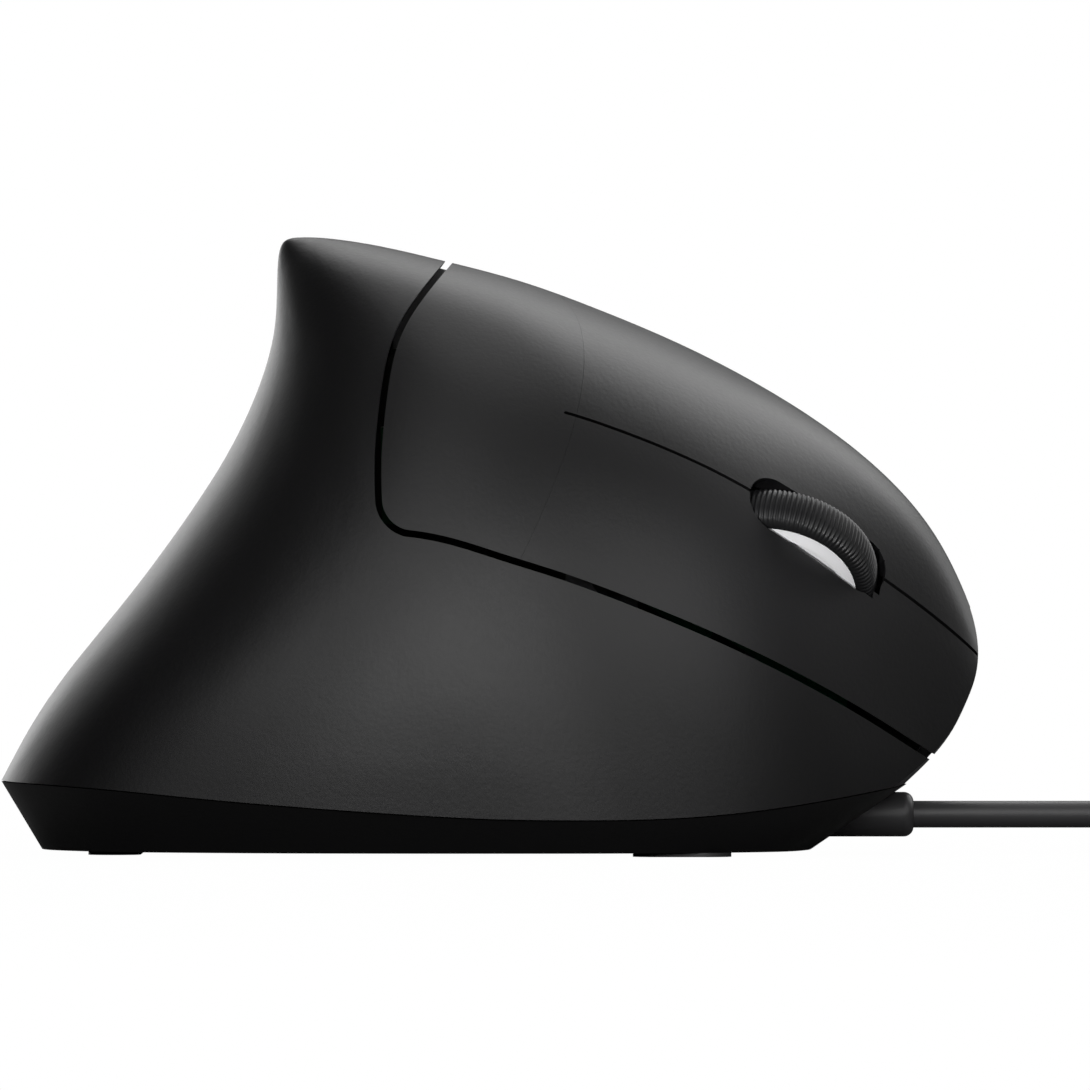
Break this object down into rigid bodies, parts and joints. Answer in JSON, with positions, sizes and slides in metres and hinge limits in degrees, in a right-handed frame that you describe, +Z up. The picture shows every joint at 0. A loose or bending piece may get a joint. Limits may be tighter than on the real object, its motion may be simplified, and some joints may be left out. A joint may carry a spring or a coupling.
{
  "type": "vertical ergonomic mouse",
  "caption": "Tall right-handed mouse with a fan-shaped shell, split finger keys with a ribbed wheel in a slot, a flared base and a corded nose.",
  "frame": {"origin": "on the desk under the middle of the mouse body, its cord not counted", "axes": "+X towards the nose where the cord leaves, +Y towards the thumb side, -Y towards the finger side with the keys and wheel, +Z up"},
  "size_m": [0.2088, 0.1009, 0.0759],
  "materials": {
    "shell_black": "fine matt texture",
    "key_black": "fine matt texture",
    "base_black": "satin",
    "foot_slick": "smooth low-friction pads",
    "tyre_rubber": "ribbed soft rubber",
    "hub_silver": "bright silver finish",
    "axle_steel": "ground",
    "frame_plastic": "moulded",
    "board_green": "varnished circuit board",
    "switch_black": "moulded",
    "plunger_white": "moulded",
    "screw_steel": "zinc plated",
    "sensor_black": "moulded chip package",
    "lens_clear": "clear moulded lens",
    "lamp_red": "tinted lamp",
    "connector_white": "moulded",
    "cord_black": "smooth cable jacket",
    "plug_steel": "plated"
  },
  "bodies": {
    "housing": {"main_shell": "shell_black", "button_bridge": "key_black", "base_tray": "base_black", "glide_feet": "foot_slick", "base_screws": "screw_steel", "main_board": "board_green", "board_screws": "screw_steel", "optical_sensor": "sensor_black", "sensor_lens": "lens_clear", "sensor_lamp": "lamp_red", "board_connector": "connector_white", "board_lead": "cord_black", "switch_tower": "frame_plastic", "switch_board": "board_green", "left_switch": "switch_black", "right_switch": "switch_black", "middle_switch": "switch_black", "thumb_board": "board_green", "thumb_screws": "screw_steel", "back_switch": "switch_black", "forward_switch": "switch_black", "strain_relief": "cord_black", "cable": "cord_black", "cable_coil": "cord_black", "cable_tail": "cord_black", "cable_tie": "cord_black", "plug_grip": "cord_black", "plug_shell": "plug_steel", "plug_tongue": "connector_white"},
    "left_key": {"left_button": "key_black"},
    "right_key": {"right_button": "key_black"},
    "left_pin": {"left_plunger": "plunger_white"},
    "right_pin": {"right_plunger": "plunger_white"},
    "cradle": {"wheel_cradle": "frame_plastic", "wheel_encoder": "switch_black"},
    "wheel": {"wheel_tyre": "tyre_rubber", "wheel_hub": "hub_silver", "wheel_axle": "axle_steel"},
    "middle_pin": {"middle_plunger": "plunger_white"},
    "back_thumb": {"back_button": "key_black"},
    "forward_thumb": {"forward_button": "key_black"},
    "back_pin": {"back_plunger": "plunger_white"},
    "forward_pin": {"forward_plunger": "plunger_white"}
  },
  "joints": [
    {"name": "left_key_press", "type": "hinge", "parent": "housing", "child": "left_key", "pos_m": [-0.00318, -0.00801, 0.04343], "axis": [0.1578, 0.6649, 0.7301], "range_deg": [0, 0.8], "stiffness_Nm_per_rad": 1, "springref_deg": -0.57},
    {"name": "right_key_press", "type": "hinge", "parent": "housing", "child": "right_key", "pos_m": [0.00478, -0.01641, 0.04936], "axis": [0.1578, 0.6649, 0.7301], "range_deg": [0, 0.8], "stiffness_Nm_per_rad": 1, "springref_deg": -0.57},
    {"name": "left_plunger_press", "type": "slide", "parent": "housing", "child": "left_pin", "axis": [-0.6121, 0.6461, -0.456], "range_m": [0, 0.0002946]},
    {"name": "right_plunger_press", "type": "slide", "parent": "housing", "child": "right_pin", "axis": [-0.6121, 0.6461, -0.456], "range_m": [0, 0.0002946]},
    {"name": "wheel_press", "type": "slide", "parent": "housing", "child": "cradle", "axis": [-0.6121, 0.6461, -0.456], "range_m": [0, 0.0005], "stiffness_N_per_m": 1000, "springref_m": -0.0003},
    {"name": "wheel_spin", "type": "hinge", "parent": "cradle", "child": "wheel", "pos_m": [0.03536, -0.00802, 0.0351], "axis": [0.1578, 0.6649, 0.7301], "continuous": true},
    {"name": "middle_plunger_press", "type": "slide", "parent": "housing", "child": "middle_pin", "axis": [-0.6121, 0.6461, -0.456], "range_m": [0, 0.0005]},
    {"name": "back_button_press", "type": "slide", "parent": "housing", "child": "back_thumb", "axis": [-0.1377, -0.9834, -0.118], "range_m": [0, 0.0005], "stiffness_N_per_m": 1000, "springref_m": -0.0003},
    {"name": "forward_button_press", "type": "slide", "parent": "housing", "child": "forward_thumb", "axis": [-0.1377, -0.9834, -0.118], "range_m": [0, 0.0005], "stiffness_N_per_m": 1000, "springref_m": -0.0003},
    {"name": "back_plunger_press", "type": "slide", "parent": "housing", "child": "back_pin", "axis": [-0.1377, -0.9834, -0.118], "range_m": [0, 0.0005]},
    {"name": "forward_plunger_press", "type": "slide", "parent": "housing", "child": "forward_pin", "axis": [-0.1377, -0.9834, -0.118], "range_m": [0, 0.0005]}
  ],
  "couplings": [
    {"joint": "left_plunger_press", "follows": "left_key_press", "m_per_rad": 0.0211},
    {"joint": "right_plunger_press", "follows": "right_key_press", "m_per_rad": 0.0211},
    {"joint": "middle_plunger_press", "follows": "wheel_press", "ratio": 1},
    {"joint": "back_plunger_press", "follows": "back_button_press", "ratio": 1},
    {"joint": "forward_plunger_press", "follows": "forward_button_press", "ratio": 1}
  ]
}
